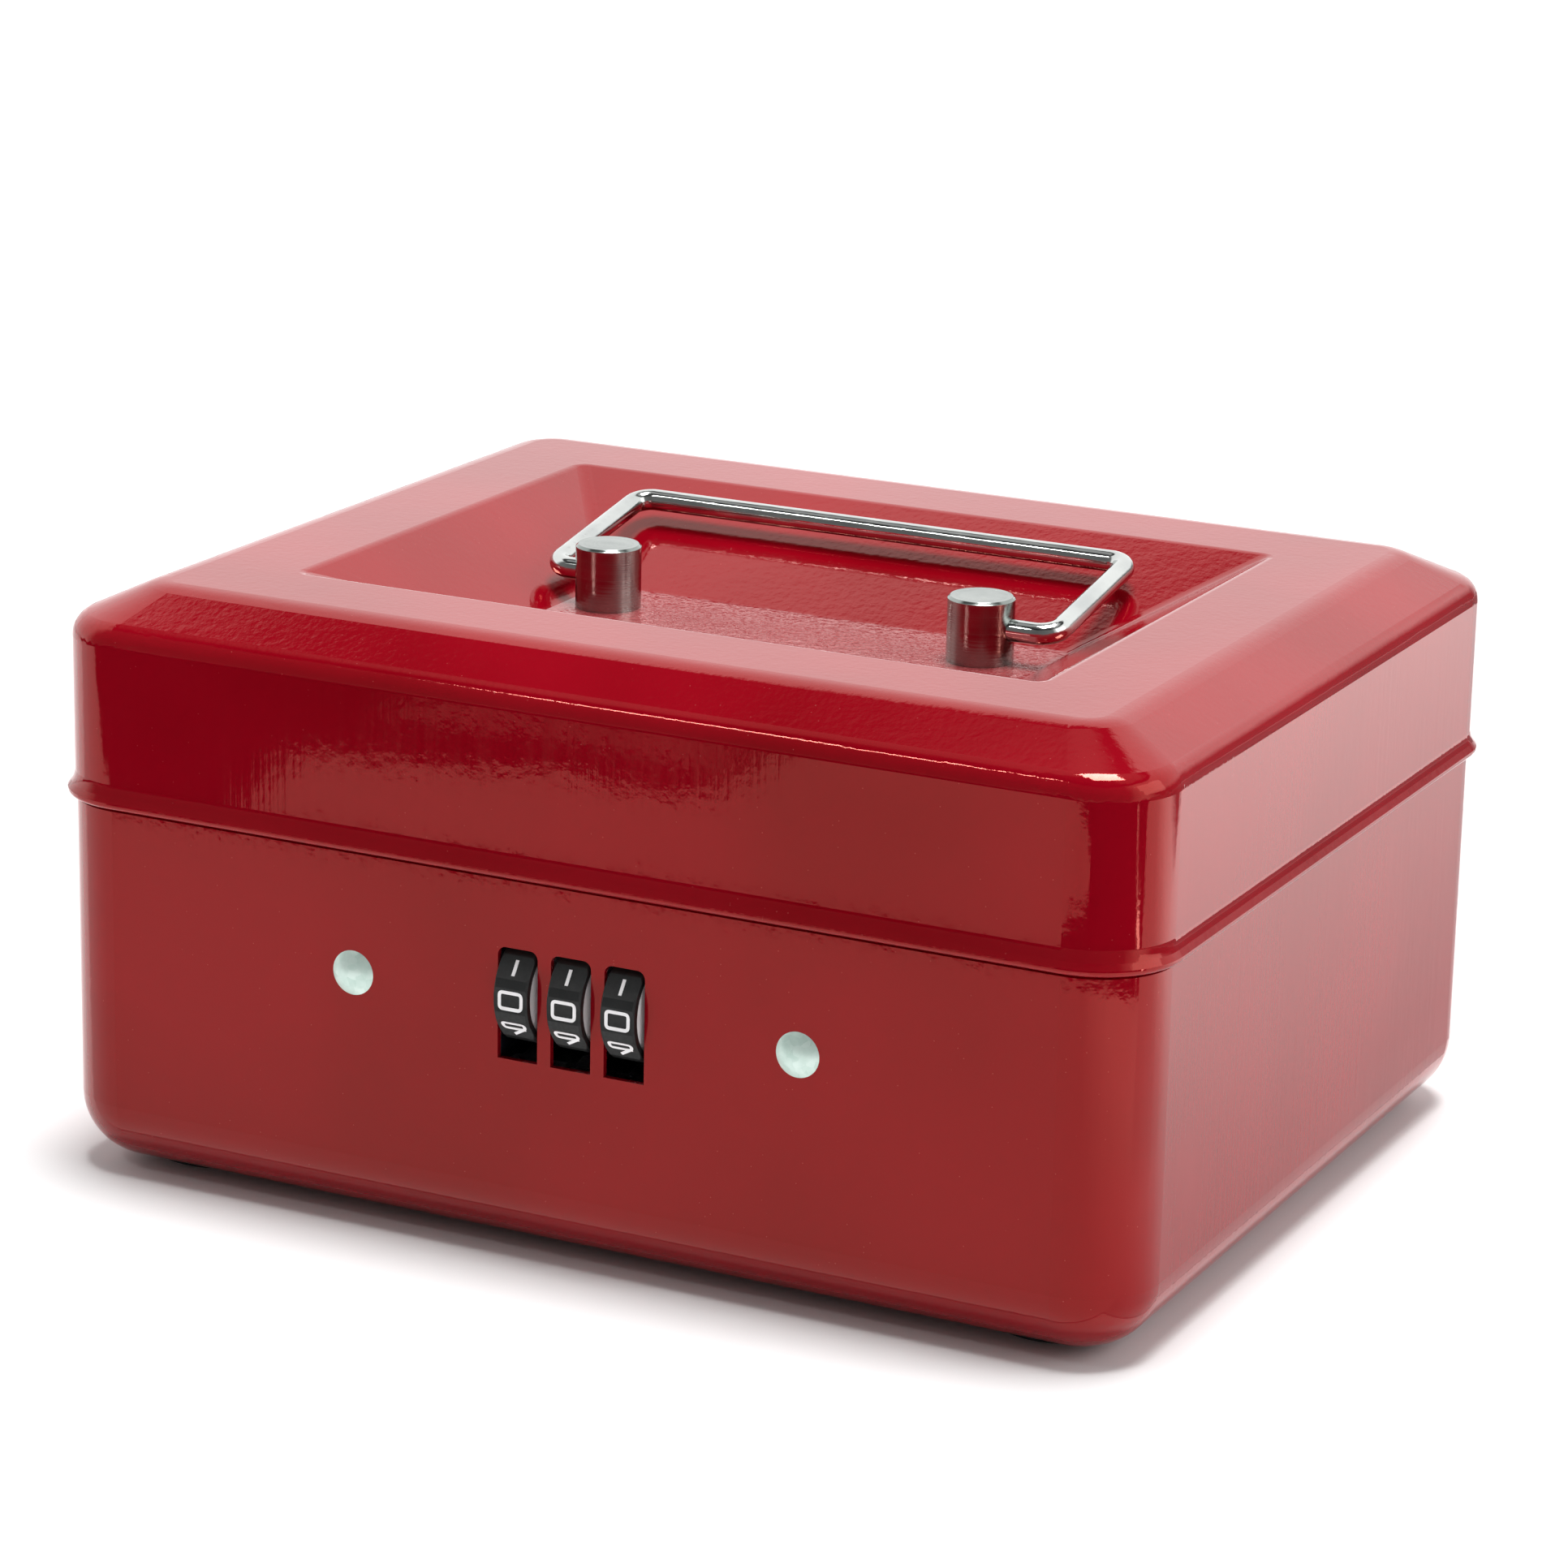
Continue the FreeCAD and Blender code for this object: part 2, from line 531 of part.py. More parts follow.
def make_rivet(x):
    """Low domed rivet through the front wall and one ear of the case."""
    sphere_r = (RIVET_HEAD_R ** 2 + DOME_H ** 2) / (2 * DOME_H)
    sphere = Part.makeSphere(sphere_r, Vector(x, -TUB_HALF_Y - DOME_H + sphere_r, RIVET_Z))
    keep = rod(Y_AXIS, Vector(x, -TUB_HALF_Y - DOME_H, RIVET_Z), RIVET_HEAD_R + 1, 2 * DOME_H)
    dome = sphere.common(keep)
    ear_back = INNER_WALL_Y + EAR_T
    shank = Part.makeCylinder(RIVET_R, ear_back + TUB_HALF_Y, Vector(x, -TUB_HALF_Y, RIVET_Z), Y_AXIS)
    tail = Part.makeCylinder(RIVET_TAIL_R, RIVET_TAIL_H, Vector(x, ear_back, RIVET_Z), Y_AXIS)
    return dome.fuse([shank, tail]).removeSplitter()


# ---------------------------------------------------------------- lock: dials
def make_dial_axle():
    return Part.makeCylinder(AXLE_R, CASE_RIGHT - CASE_LEFT, Vector(CASE_LEFT, DIAL_Y, DIAL_Z), X_AXIS)


def make_dial_ring(x):
    """Numbered ring with ten shallow scooped facets, one of them facing front."""
    centre = Vector(x, DIAL_Y, DIAL_Z)
    ring = rod(X_AXIS, centre, DIAL_R, DIAL_W)
    rims = [edge for edge in ring.Edges if edge.BoundBox.XLength < 0.01]
    ring = ring.makeChamfer(0.25, rims)
    scoops = []
    for index in range(DIAL_FACETS):
        angle = math.radians(180 + index * 360 / DIAL_FACETS)
        middle = centre + Vector(0, math.cos(angle), math.sin(angle)) * SCOOP_CENTRE
        scoops.append(rod(X_AXIS, middle, SCOOP_R, DIAL_W + 2))
    return ring.cut(scoops).cut(rod(X_AXIS, centre, HUB_R, DIAL_W + 2))


def make_dial_hub(x):
    """Hub inside the ring, with a gate disc beside it and a spacing sleeve."""
    hub_half = DIAL_W / 2 - 0.2
    hub = rod(X_AXIS, Vector(x, DIAL_Y, DIAL_Z), HUB_R, 2 * hub_half)
    sleeve_end = DIAL_PITCH - hub_half - 0.1
    hub_end = Vector(x + hub_half, DIAL_Y, DIAL_Z)
    sleeve = Part.makeCylinder(SLEEVE_R, sleeve_end - hub_half, hub_end, X_AXIS)
    disc = Part.makeCylinder(GATE_R, DISC_W, Vector(x + DISC_OFFSET, DIAL_Y, DIAL_Z), X_AXIS)
    gate = block(x + DISC_OFFSET - 0.1, x + DISC_OFFSET + DISC_W + 0.1, DIAL_Y + GATE_R - GATE_DEPTH,
                 DIAL_Y + GATE_R + 1, DIAL_Z - GATE_HALF_H, DIAL_Z + GATE_HALF_H)
    bore = rod(X_AXIS, Vector(x, DIAL_Y, DIAL_Z), AXLE_R + RUNNING_FIT, 30)
    return hub.fuse([sleeve, disc.cut(gate)]).removeSplitter().cut(bore)


def make_detent_spring():
    """Leaf with one finger under each dial."""
    floor = CAVITY_BOTTOM_Z
    foot_y = LEAF_ROOT_Y - 0.2
    tip_z = floor + LEAF_RISE
    leaf = block(CASE_LEFT + 1.9, CASE_RIGHT - 1.9, LEAF_FRONT_Y, LEAF_ROOT_Y, floor, floor + LEAF_T)
    finger = [(foot_y, floor), (LEAF_TIP_Y, tip_z), (LEAF_TIP_Y, tip_z + LEAF_T), (foot_y, floor + LEAF_T)]
    for x in dial_places():
        leaf = leaf.fuse(plate_yz(finger, x - LEAF_HALF_W, x + LEAF_HALF_W))
    return leaf.removeSplitter()


# ---------------------------------------------------------------- lock: bolt, lever and strike
def make_lock_bolt():
    """Sliding bolt: a bar behind the dials, three teeth, an arm and a nose."""
    thickness = (BAR_FRONT_Y, BAR_BACK_Y)
    nose_height = (NOSE_BOTTOM_Z, NOSE_TOP_Z)
    nose_end = LOCK_X - NOSE_REST_GAP
    bar = block(BAR_LEFT, BAR_RIGHT, *thickness, DIAL_Z - BAR_HALF_H, DIAL_Z + BAR_HALF_H)
    pieces = [block(ARM_LEFT, ARM_RIGHT, *thickness, DIAL_Z, NOSE_TOP_Z),
              block(ARM_LEFT, ARM_RIGHT, NOSE_FRONT_Y, BAR_FRONT_Y, *nose_height),
              block(ARM_RIGHT, nose_end, NOSE_FRONT_Y, NOSE_BACK_Y, *nose_height),
              block(SPRING_LEFT - 1, SPRING_LEFT, *thickness, SPRING_LUG_BOTTOM_Z, DIAL_Z)]
    tooth_tip = DIAL_Y + GATE_R - GATE_DEPTH + TOOTH_REACH
    for x in dial_places():
        tooth_left = x + TOOTH_OFFSET
        pieces.append(block(tooth_left, tooth_left + TOOTH_W, tooth_tip, BAR_FRONT_Y,
                            DIAL_Z - TOOTH_HALF_H, DIAL_Z + TOOTH_HALF_H))
    return bar.fuse(pieces).removeSplitter()


def make_bolt_spring():
    """Compression spring between the bolt's lug and the rib of the case."""
    wire_r = 0.16
    coil_r = 0.95
    turns = 7
    length = SPRING_RIGHT - SPRING_LEFT - 2 * wire_r
    helix = Part.makeHelix(length / turns, length, coil_r)
    section = Part.Wire(Part.makeCircle(wire_r, Vector(coil_r, 0, 0), Y_AXIS))
    spring = Part.Wire(helix.Edges).makePipeShell([section], True, True)
    spring.rotate(Vector(0, 0, 0), Y_AXIS, 90)
    spring.translate(Vector(SPRING_LEFT + wire_r, SPRING_Y, SPRING_Z))
    return spring


def make_code_change_lever():
    """Sliding lever inside the back plate, with a thumb nub through its slot."""
    slider = block(LEVER_LEFT, LEVER_LEFT + LEVER_W, LEVER_FRONT_Y, CASE_BACK_Y - 0.1,
                   LEVER_BOTTOM_Z, LEVER_TOP_Z)
    nub = block(NUB_LEFT, NUB_LEFT + NUB_W, CASE_BACK_Y - 0.5, CASE_BACK_Y + NUB_OUT,
                NUB_BOTTOM_Z, NUB_TOP_Z)
    return slider.fuse(nub).removeSplitter()


def make_lid_hook():
    """Strike: a flange on the lid's front wall and a windowed tongue below it."""
    wall_y = -LID_HALF_Y + SHEET
    flange = block(LOCK_X - FLANGE_HALF_W, LOCK_X + FLANGE_HALF_W, wall_y, wall_y + TONGUE_T,
                   FLANGE_BOTTOM_Z, FLANGE_TOP_Z)
    web = block(LOCK_X, LOCK_X + TONGUE_T, wall_y, TONGUE_BACK_Y, FLANGE_BOTTOM_Z, FLANGE_TOP_Z)
    tongue = block(LOCK_X, LOCK_X + TONGUE_T, TONGUE_FRONT_Y, TONGUE_BACK_Y,
                   TONGUE_BOTTOM_Z, FLANGE_BOTTOM_Z)
    window = block(LOCK_X - 1, LOCK_X + TONGUE_T + 1, WINDOW_FRONT_Y, WINDOW_BACK_Y, TONGUE_BOTTOM_Z + 1.3,
                   NOSE_TOP_Z + 0.6)
    return flange.fuse([web, tongue]).removeSplitter().cut(window)


# ---------------------------------------------------------------- coin tray
TRAY_HALF_X = 71.3
TRAY_FRONT_Y = -55.8
TRAY_BACK_Y = 56.3
TRAY_FLOOR_Z = 34.5
TRAY_WALL = 1.5
TRAY_TOP_Z = NECK_TOP_Z + 0.1
TRAY_LIP_T = 1.5
TRAY_MID_Y = -6.75
NOTCH_HALF_X = 18.0
NOTCH_BACK_Y = -40.0


def tray_pockets():
    """Inner outlines of the pockets: x range, y range and their corner radius."""
    inner_x = TRAY_HALF_X - TRAY_WALL
    half_wall = TRAY_WALL / 2
    back = (TRAY_MID_Y + half_wall, TRAY_BACK_Y - TRAY_WALL)
    front = (TRAY_FRONT_Y + TRAY_WALL, TRAY_MID_Y - half_wall)
    short = (NOTCH_BACK_Y + TRAY_WALL, TRAY_MID_Y - half_wall)
    third = 23.25
    notch_wall = NOTCH_HALF_X + TRAY_WALL
    return [(-inner_x, -third - half_wall, *back, 6.0), (-third + half_wall, third - half_wall, *back, 6.0),
            (third + half_wall, inner_x, *back, 6.0), (-inner_x, -notch_wall, *front, 6.0),
            (notch_wall, inner_x, *front, 6.0), (-NOTCH_HALF_X, NOTCH_HALF_X, *short, 4.0)]


def pocket_cutter(x0, x1, y0, y1, corner):
    """A pocket with round corners and a scooped bottom."""
    pocket = rounded_slab((x1 - x0) / 2, (y1 - y0) / 2, corner, TRAY_FLOOR_Z + TRAY_WALL, TRAY_TOP_Z + 5,
                          (y0 + y1) / 2)
    pocket.translate(Vector((x0 + x1) / 2, 0, 0))
    return pocket.makeFillet(corner * 0.8, level_edges(pocket, TRAY_FLOOR_Z + TRAY_WALL))


def make_coin_tray():
    half_y = (TRAY_BACK_Y - TRAY_FRONT_Y) / 2
    middle_y = (TRAY_BACK_Y + TRAY_FRONT_Y) / 2
    tray = rounded_slab(TRAY_HALF_X, half_y, 8.0, TRAY_FLOOR_Z, TRAY_TOP_Z, middle_y)
    tray = tray.makeFillet(2.0, level_edges(tray, TRAY_FLOOR_Z))
    lip = rounded_slab(TUB_HALF_X - STEP_IN - 0.1, TUB_HALF_Y - STEP_IN - 0.1, TUB_CORNER - STEP_IN,
                       TRAY_TOP_Z, TRAY_TOP_Z + TRAY_LIP_T)
    lip = lip.makeFillet(0.6, level_edges(lip, TRAY_TOP_Z + TRAY_LIP_T))
    notch = block(-NOTCH_HALF_X, NOTCH_HALF_X, -70, NOTCH_BACK_Y, TRAY_FLOOR_Z - 1, TRAY_TOP_Z + 5)
    cutters = [notch] + [pocket_cutter(*pocket) for pocket in tray_pockets()]
    return tray.fuse(lip).cut(cutters).removeSplitter()


# ---------------------------------------------------------------- assembly
def make_nodes():
    """Every sub-part by node name, about the middle of the tub."""
    nodes = {"base_shell": make_base_shell(), "lid_shell": make_lid_shell(), "handle_bail": make_bail()}
    hinge_parts = {"hinge_leaf_base": make_hinge_leaf_base(), "hinge_leaf_lid": make_hinge_leaf_lid(),
                   "hinge_pin": make_hinge_pin()}
    handle_parts = {"handle_post": make_post(), "handle_screw": make_handle_screw(),
                    "handle_washer": make_handle_washer()}
    for parts, middle_x in ((hinge_parts, 0.0), (handle_parts, POST_MID_X)):
        for name, right in parts.items():
            left = mirrored_x(right)
            nodes[name + "_right"] = right.translated(Vector(middle_x, 0, 0))
            nodes[name + "_left"] = left.translated(Vector(middle_x, 0, 0))
    for side_y, row in ((-1, "front"), (1, "back")):
        for side_x, side in ((-1, "left"), (1, "right")):
            nodes[f"foot_{row}_{side}"] = make_foot(side_x, side_y)
    for side, x in rivet_places().items():
        nodes["lock_rivet_" + side] = make_rivet(x)
    for number, x in enumerate(dial_places(), 1):
        nodes[f"dial_ring_{number}"] = make_dial_ring(x)
        nodes[f"dial_hub_{number}"] = make_dial_hub(x)
    nodes["lock_case"] = make_lock_case()
    nodes["lock_back_plate"] = make_lock_back_plate()
    nodes["lock_screws"] = make_lock_screws()
    nodes["dial_axle"] = make_dial_axle()
    nodes["detent_spring"] = make_detent_spring()
    nodes["lock_bolt"] = make_lock_bolt()
    nodes["bolt_spring"] = make_bolt_spring()
    nodes["code_change_lever"] = make_code_change_lever()
    nodes["lid_hook"] = make_lid_hook()
    nodes["coin_tray"] = make_coin_tray()
    return nodes


def main():
    os.makedirs("parts", exist_ok=True)
    for name, shape in sorted(make_nodes().items()):
        shape.translate(Vector(0, -ORIGIN_Y, 0))
        shape.exportStep(f"parts/{name}.step")
        print(f"{name:24s} {shape.Volume:10.2f} mm3  solids {len(shape.Solids)}  valid {shape.isValid()}")


main()
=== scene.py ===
"""Visual model of the steel cash box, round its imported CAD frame."""
import json
import math

import bpy
import bmesh
from mathutils import Matrix, Vector


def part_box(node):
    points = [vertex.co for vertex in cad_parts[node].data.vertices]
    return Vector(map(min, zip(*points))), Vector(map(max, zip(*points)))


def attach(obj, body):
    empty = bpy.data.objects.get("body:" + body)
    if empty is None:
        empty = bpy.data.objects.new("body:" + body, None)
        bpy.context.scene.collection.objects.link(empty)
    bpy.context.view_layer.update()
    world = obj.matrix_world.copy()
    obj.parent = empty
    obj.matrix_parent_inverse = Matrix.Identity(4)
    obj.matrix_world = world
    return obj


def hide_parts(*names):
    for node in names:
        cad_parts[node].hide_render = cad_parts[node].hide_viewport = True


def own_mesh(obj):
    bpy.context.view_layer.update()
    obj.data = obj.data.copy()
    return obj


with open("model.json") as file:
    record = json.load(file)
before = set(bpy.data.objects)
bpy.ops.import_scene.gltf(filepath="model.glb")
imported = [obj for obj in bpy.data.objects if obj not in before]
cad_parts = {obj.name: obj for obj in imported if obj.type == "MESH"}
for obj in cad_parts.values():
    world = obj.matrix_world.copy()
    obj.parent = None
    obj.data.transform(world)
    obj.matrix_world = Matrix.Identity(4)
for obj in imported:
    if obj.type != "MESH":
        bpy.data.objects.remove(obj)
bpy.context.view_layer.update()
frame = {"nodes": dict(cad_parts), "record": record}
NODES = frame["nodes"]
MM = 0.001


# ------------------------------------------------------------------ materials
class Shader:
    """A procedural material: one Principled shader and the nodes that feed it."""

    def __init__(self, name, **sockets):
        self.material = bpy.data.materials.new(name)
        self.material.use_nodes = True
        self.tree = self.material.node_tree
        self.tree.nodes.clear()
        output = self.tree.nodes.new("ShaderNodeOutputMaterial")
        self.shader = self.tree.nodes.new("ShaderNodeBsdfPrincipled")
        self.tree.links.new(self.shader.outputs["BSDF"], output.inputs["Surface"])
        for socket, value in sockets.items():
            self.shader.inputs[socket.replace("_", " ")].default_value = value
        place = self.tree.nodes.new("ShaderNodeTexCoord")
        self.place = place.outputs["Object"]

    def node(self, kind, inputs=(), **settings):
        made = self.tree.nodes.new("ShaderNode" + kind)
        for name, value in settings.items():
            setattr(made, name, value)
        for key, value in dict(inputs).items():
            socket = made.inputs[key]
            if isinstance(value, bpy.types.NodeSocket):
                self.tree.links.new(value, socket)
            else:
                socket.default_value = value
        return made

    def stretched(self, scale):
        """Object coordinates, multiplied along each axis."""
        return self.node("Mapping", {"Vector": self.place, "Scale": scale}).outputs["Vector"]

    def noise(self, scale, detail=2.0, vector=None, rough=0.5):
        made = self.node("TexNoise", {"Vector": vector or self.place, "Scale": scale, "Detail": detail,
                                      "Roughness": rough})
        return made.outputs["Fac"]

    def specks(self, scale, size):
        """1 inside small scattered dots, 0 elsewhere."""
        cells = self.node("TexVoronoi", {"Vector": self.place, "Scale": scale, "Randomness": 1.0})
        near = self.span(cells.outputs["Distance"], size, size * 0.6, 0.0, 1.0)
        chosen = self.node("SeparateColor", {"Color": cells.outputs["Color"]}).outputs["Red"]
        lit = self.span(chosen, 0.86, 0.88, 0.0, 1.0)
        return self.math("MULTIPLY", near, lit)

    def span(self, value, low, high, to_low, to_high):
        """A value mapped from one range to another, and clamped."""
        made = self.node("MapRange", {"Value": value, "From Min": low, "From Max": high,
                                      "To Min": to_low, "To Max": to_high})
        return made.outputs["Result"]

    def math(self, operation, a, b):
        return self.node("Math", {0: a, 1: b}, operation=operation).outputs["Value"]

    def mix(self, factor, a, b):
        """Colour a where factor is 0, colour b where it is 1."""
        made = self.node("Mix", data_type="RGBA")
        sockets = (made.inputs["Factor"], made.inputs[6], made.inputs[7])
        for socket, value in zip(sockets, (factor, a, b)):
            if isinstance(value, bpy.types.NodeSocket):
                self.tree.links.new(value, socket)
            else:
                socket.default_value = value
        return made.outputs[2]

    def bump(self, height, distance, strength=1.0, under=None):
        made = self.node("Bump", {"Height": height, "Distance": distance, "Strength": strength})
        if under is not None:
            self.tree.links.new(under, made.inputs["Normal"])
        return made.outputs["Normal"]

    def feed(self, **sockets):
        for name, value in sockets.items():
            self.tree.links.new(value, self.shader.inputs[name.replace("_", " ")])
        return self.material


def rgb(red, green, blue):
    return (red, green, blue, 1.0)


def enamel(name, sunken_floor=None):
    """Glossy stoved enamel on drawn steel: orange peel, faint draw marks, dust.

    sunken_floor is (centre x, centre y, half x, half y, z) of a level floor
    where the enamel has pooled with a coarser peel; there a little pale colour is painted sheen.
    """
    s = Shader(name, IOR=1.5, Specular_IOR_Level=1.0, Specular_Tint=rgb(1.0, 0.29, 0.22))
    blotch = s.noise(26.0, 2.0)
    grain = s.noise(420.0, 2.0)
    dark = rgb(0.205, 0.0006, 0.0052)
    light = rgb(0.250, 0.0010, 0.0075)
    colour = s.mix(s.span(blotch, 0.35, 0.65, 0.0, 1.0), dark, light)
    dust = s.math("MULTIPLY", s.specks(1300.0, 0.12), 0.22)
    colour = s.mix(dust, colour, rgb(0.62, 0.20, 0.18))
    draw_marks = s.noise(1.0, 3.0, s.stretched((1200.0, 1200.0, 14.0)))
    rough = s.span(s.math("ADD", s.math("MULTIPLY", draw_marks, 0.7), s.math("MULTIPLY", grain, 0.3)),
                   0.35, 0.68, 0.03, 0.08)
    rough = s.math("ADD", rough, s.math("MULTIPLY", dust, 0.4))
    waves = s.bump(s.noise(45.0, 1.0), 0.00003, 1.0)
    peel = s.bump(s.noise(260.0, 1.0), 0.000010, 1.0, waves)
    fine = s.bump(s.noise(800.0, 2.0), 0.000010, 1.0, peel)
    relief = s.bump(draw_marks, 0.000013, 1.0, fine)
    if sunken_floor is not None:
        place = s.node("SeparateXYZ", {"Vector": s.place})
        centre_x, centre_y, half_x, half_y, floor_z = sunken_floor
        pooled = s.span(place.outputs["Z"], floor_z - 0.0005, floor_z - 0.0003, 0.0, 1.0)
        for axis, centre, half in (("X", centre_x, half_x), ("Y", centre_y, half_y)):
            off_centre = s.math("ABSOLUTE", s.math("SUBTRACT", place.outputs[axis], centre), 0.0)
            inside = s.span(off_centre, half - 0.0015, half + 0.0005, 1.0, 0.0)
            pooled = s.math("MULTIPLY", pooled, inside)
        relief = s.bump(s.noise(900.0, 2.0), 0.00012, pooled, relief)
        # Painted sheen: a little pale colour mixed into the pooled floor stands in for the sparkle of
        # its reflection.
        painted_sheen = s.math("MULTIPLY", pooled, s.span(s.noise(2200.0, 2.0), 0.35, 0.65, 0.03, 0.11))
        colour = s.mix(painted_sheen, colour, rgb(0.90, 0.68, 0.66))
    return s.feed(Base_Color=colour, Roughness=rough, Normal=relief)


def chrome():
    """Bright plate over drawn wire and turned posts, with fine rub marks."""
    s = Shader("bright_chrome", Metallic=1.0)
    rub = s.noise(1.0, 3.0, s.stretched((180.0, 1500.0, 1500.0)))
    cloud = s.noise(160.0, 2.0)
    colour = s.mix(s.span(cloud, 0.3, 0.7, 0.0, 1.0), rgb(0.56, 0.58, 0.57), rgb(0.68, 0.70, 0.68))
    rough = s.span(rub, 0.35, 0.7, 0.06, 0.20)
    relief = s.bump(rub, 0.00002, 1.0)
    return s.feed(Base_Color=colour, Roughness=rough, Normal=relief)


def turned_chrome(centre_x, centre_y):
    """Plated post with turning rings on its face and sides."""
    s = Shader("turned_chrome", Metallic=1.0)
    axis = s.node("CombineXYZ", {"X": centre_x, "Y": centre_y, "Z": 0.0}).outputs["Vector"]
    flat = s.node("VectorMath", {0: s.stretched((1.0, 1.0, 0.0)), 1: axis}, operation="SUBTRACT")
    radius = s.node("VectorMath", {0: flat.outputs["Vector"]}, operation="LENGTH").outputs["Value"]
    height = s.node("SeparateXYZ", {"Vector": s.place}).outputs["Z"]
    turned = s.node("CombineXYZ", {"X": s.math("MULTIPLY", radius, 5200.0),
                                   "Y": s.math("MULTIPLY", height, 2600.0), "Z": 0.0}).outputs["Vector"]
    rings = s.noise(1.0, 2.0, turned)
    cloud = s.noise(240.0, 2.0)
    colour = s.mix(s.span(cloud, 0.3, 0.7, 0.0, 1.0), rgb(0.26, 0.29, 0.275), rgb(0.34, 0.37, 0.35))
    rough = s.span(rings, 0.3, 0.7, 0.10, 0.26)
    relief = s.bump(rings, 0.00002, 1.0)
    return s.feed(Base_Color=colour, Roughness=rough, Normal=relief)


def zinc():
    """Bright zinc plate, slightly green, with a faint crystalline mottle."""
    s = Shader("zinc_steel", Metallic=0.45)
    cells = s.node("TexVoronoi", {"Vector": s.place, "Scale": 900.0, "Randomness": 1.0})
    tone = s.node("SeparateColor", {"Color": cells.outputs["Color"]}).outputs["Green"]
    cloud = s.noise(700.0, 3.0)
    mixed = s.math("ADD", s.math("MULTIPLY", tone, 0.35), s.math("MULTIPLY", cloud, 0.65))
    colour = s.mix(s.span(mixed, 0.25, 0.75, 0.0, 1.0), rgb(0.60, 0.79, 0.71), rgb(0.80, 0.96, 0.89))
    rough = s.span(mixed, 0.25, 0.75, 0.42, 0.28)
    relief = s.bump(s.noise(1500.0, 2.0), 0.00002, 1.0)
    return s.feed(Base_Color=colour, Roughness=rough, Normal=relief)


def spring_steel():
    s = Shader("spring_steel", Metallic=1.0)
    stain = s.noise(600.0, 3.0)
    colour = s.mix(s.span(stain, 0.3, 0.7, 0.0, 1.0), rgb(0.30, 0.31, 0.33), rgb(0.52, 0.52, 0.52))
    return s.feed(Base_Color=colour, Roughness=s.span(stain, 0.3, 0.7, 0.22, 0.38),
                  Normal=s.bump(stain, 0.00002, 1.0))


def moulded(name, dark, light, low, high, grain_scale, grain_depth):
    """Moulded plastic or rubber with a spark-eroded grain."""
    s = Shader(name, IOR=1.48)
    cloud = s.noise(90.0, 3.0)
    grain = s.noise(grain_scale, 2.0)
    colour = s.mix(s.span(cloud, 0.3, 0.7, 0.0, 1.0), dark, light)
    scuffs = s.math("MULTIPLY", s.specks(700.0, 0.12), 0.2)
    rough = s.math("ADD", s.span(grain, 0.3, 0.7, low, high), scuffs)
    return s.feed(Base_Color=colour, Roughness=rough, Normal=s.bump(grain, grain_depth, 1.0))


def paper_floor():
    """Plain pale sweep under the box."""
    s = Shader("pale_floor", Specular_IOR_Level=0.2)
    tone = s.noise(3.0, 2.0)
    colour = s.mix(tone, rgb(0.86, 0.86, 0.86), rgb(0.90, 0.90, 0.90))
    return s.feed(Base_Color=colour, Roughness=s.span(tone, 0.3, 0.7, 0.75, 0.85))


def box_middle(name):
    low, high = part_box(name)
    return (low + high) / 2


PANEL_DEPTH = 9.9 * MM
PANEL_FLOOR_HALF_X = 34.7 * MM
PANEL_FLOOR_HALF_Y = 12.0 * MM

RED = enamel("red_enamel")
CHROME = chrome()
ZINC = zinc()
SPRING = spring_steel()
MATTE_BLACK = moulded("black_matte_plastic", rgb(0.007, 0.008, 0.008), rgb(0.012, 0.013, 0.013),
                      0.42, 0.60, 1800.0, 0.000015)
GLOSS_BLACK = moulded("black_gloss_plastic", rgb(0.005, 0.005, 0.008), rgb(0.010, 0.010, 0.014),
                      0.10, 0.22, 300.0, 0.00002)
WHITE = moulded("white_plastic", rgb(0.90, 0.89, 0.90), rgb(0.96, 0.95, 0.96),
                0.30, 0.45, 1500.0, 0.00001)
TRAY = moulded("tray_plastic", rgb(0.014, 0.014, 0.016), rgb(0.026, 0.026, 0.028),
               0.34, 0.52, 900.0, 0.00003)
RUBBER = moulded("black_rubber", rgb(0.010, 0.010, 0.010), rgb(0.018, 0.018, 0.018),
                 0.65, 0.85, 1400.0, 0.00003)
SLOT_MATERIALS = {
    "red_enamel": RED, "bright_chrome": CHROME, "zinc_steel": ZINC, "spring_steel": SPRING,
    "black_matte_plastic": MATTE_BLACK, "black_gloss_plastic": GLOSS_BLACK,
    "white_plastic": WHITE, "tray_plastic": TRAY, "black_rubber": RUBBER,
}


def dress(obj, material):
    obj.data.materials.clear()
    obj.data.materials.append(material)


for part in frame["record"]["subparts"]:
    dress(NODES[part["node"]], SLOT_MATERIALS[part["material_slot"]])
lid_middle = box_middle("lid_shell")
panel_floor_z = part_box("lid_shell")[1].z - PANEL_DEPTH
panel_floor = (lid_middle.x, lid_middle.y, PANEL_FLOOR_HALF_X, PANEL_FLOOR_HALF_Y, panel_floor_z)
dress(NODES["lid_shell"], enamel("red_enamel_lid", panel_floor))
for side in ("left", "right"):
    post = NODES["handle_post_" + side]
    middle = box_middle(post.name)
    dress(post, turned_chrome(middle.x, middle.y))


# ------------------------------------------------------------------ dial numbers
STROKE = 0.44 * MM
DIGIT_W = 3.05 * MM
DIGIT_H = 2.10 * MM
DIGIT_CORNER = 0.5 * MM
DIGIT_LIFT = 0.05 * MM
FACETS = 10
FACET_R = 6.62 * MM
SCOOP_R = 12.0 * MM


def rounded_path(points, closed):
    """A polyline with its corners rounded by short arcs."""
    count = len(points)
    path = []
    for index, point in enumerate(points):
        if not closed and index in (0, count - 1):
            path.append(point)
            continue
        before = points[index - 1] - point
        after = points[(index + 1) % count] - point
        reach = min(DIGIT_CORNER, before.length * 0.49, after.length * 0.49)
        start = point + before.normalized() * reach
        end = point + after.normalized() * reach
        for step in range(6):
            t = step / 5
            path.append(start * (1 - t) ** 2 + point * 2 * t * (1 - t) + end * t ** 2)
    return path


